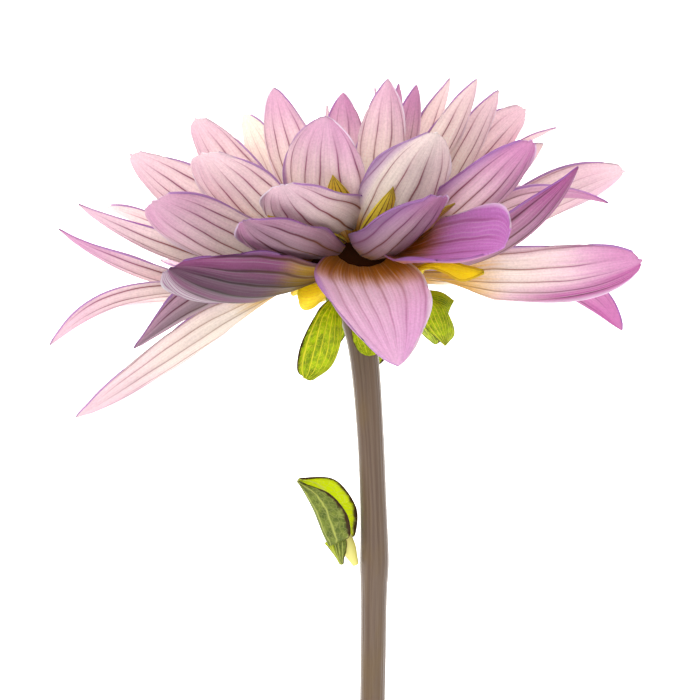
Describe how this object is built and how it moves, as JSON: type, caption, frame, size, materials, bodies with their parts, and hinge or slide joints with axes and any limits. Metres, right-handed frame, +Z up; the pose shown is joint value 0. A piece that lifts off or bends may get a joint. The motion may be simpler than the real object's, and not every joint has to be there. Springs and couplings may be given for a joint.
{
  "type": "dahlia cut flower",
  "caption": "Double dahlia flower head with pointed, cupped ray petals over yellow and green bracts, on a long bare cut stem with a small leaf, lying on its side.",
  "frame": {"origin": "on the surface that the flower lies on, under the middle of its box", "axes": "+Z up from the surface; +Y along the stem from its cut end to the flower head; +X to the right seen from above with the flower head away from the viewer"},
  "size_m": [0.1303, 0.2316, 0.0954],
  "materials": {
    "petal": "thin, soft petal, cream to lilac pink with long veins",
    "inner_bract": "waxy yellow bract",
    "outer_bract": "fleshy yellow-green bract with pale veins",
    "stem": "smooth brown-green stem",
    "leaf": "soft green leaf"
  },
  "bodies": {
    "root": {"bloom": "petal", "inner_bracts": "inner_bract", "outer_bracts": "outer_bract", "stem": "stem", "stem_leaf": "leaf"}
  },
  "joints": []
}
